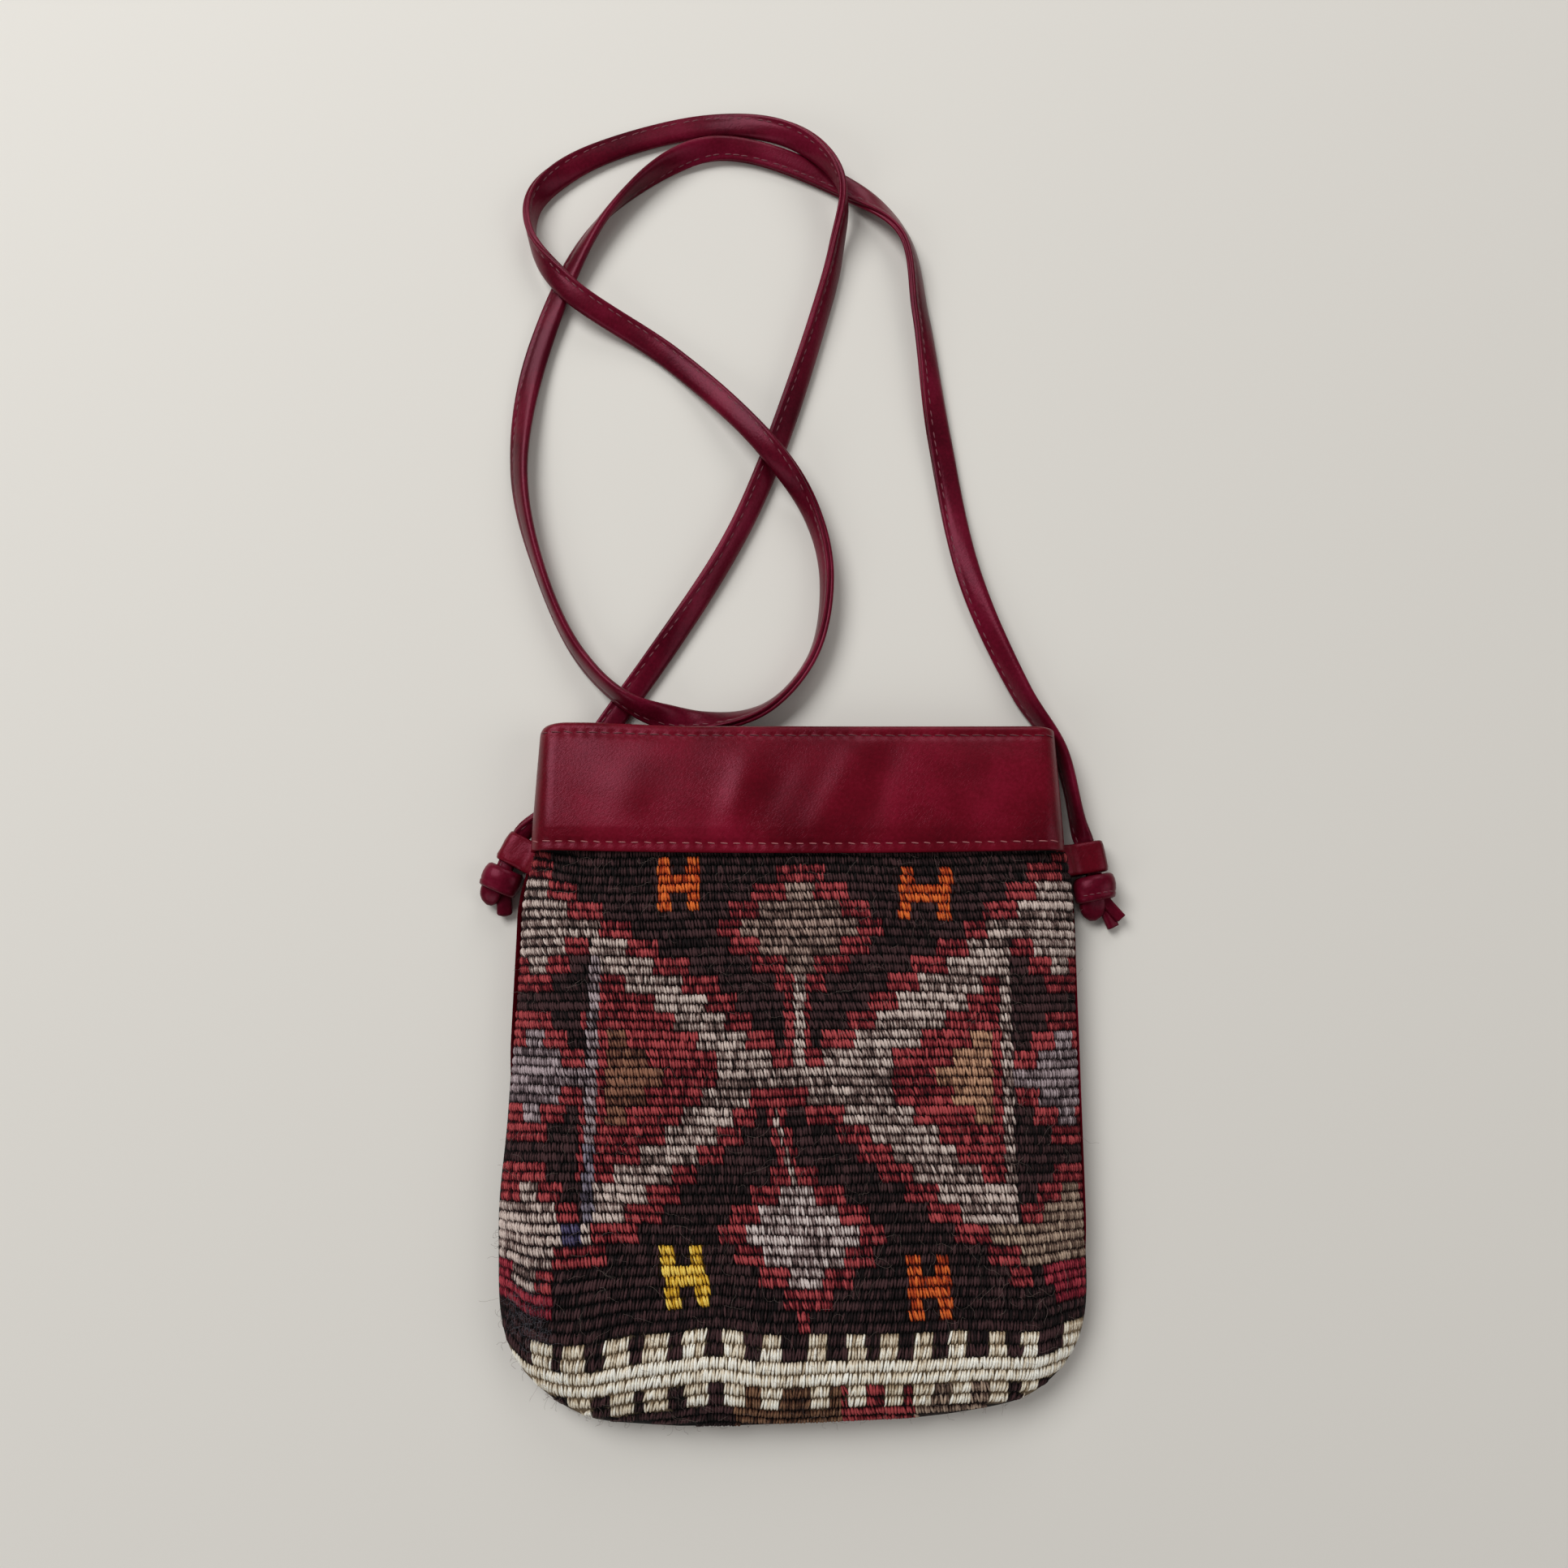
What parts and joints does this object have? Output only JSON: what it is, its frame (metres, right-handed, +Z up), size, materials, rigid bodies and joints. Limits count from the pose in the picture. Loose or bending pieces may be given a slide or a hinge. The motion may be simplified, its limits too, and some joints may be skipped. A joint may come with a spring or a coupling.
{
  "type": "kilim shoulder bag",
  "caption": "Small flat shoulder bag with a ribbed flat-woven wool front, a leather back and mouth band, a cotton lining and a long leather strap knotted at side loops.",
  "frame": {"origin": "on the floor under the middle of the bag, which lies on its leather back", "axes": "+X to the bag's right side, +Y along the bag to its mouth, +Z up out of the woven front"},
  "size_m": [0.2074, 0.4424, 0.0193],
  "materials": {
    "kilim_wool": "matte",
    "bag_leather": "satin",
    "strap_leather": "satin",
    "lining_cotton": "matte",
    "sewing_thread": "matte"
  },
  "bodies": {
    "root": {"kilim_front_panel": "kilim_wool", "leather_back_panel": "bag_leather", "leather_mouth_band": "bag_leather", "cotton_lining": "lining_cotton", "left_strap_loop": "bag_leather", "right_strap_loop": "bag_leather", "shoulder_strap": "strap_leather", "left_strap_knot": "strap_leather", "right_strap_knot": "strap_leather"}
  },
  "joints": []
}
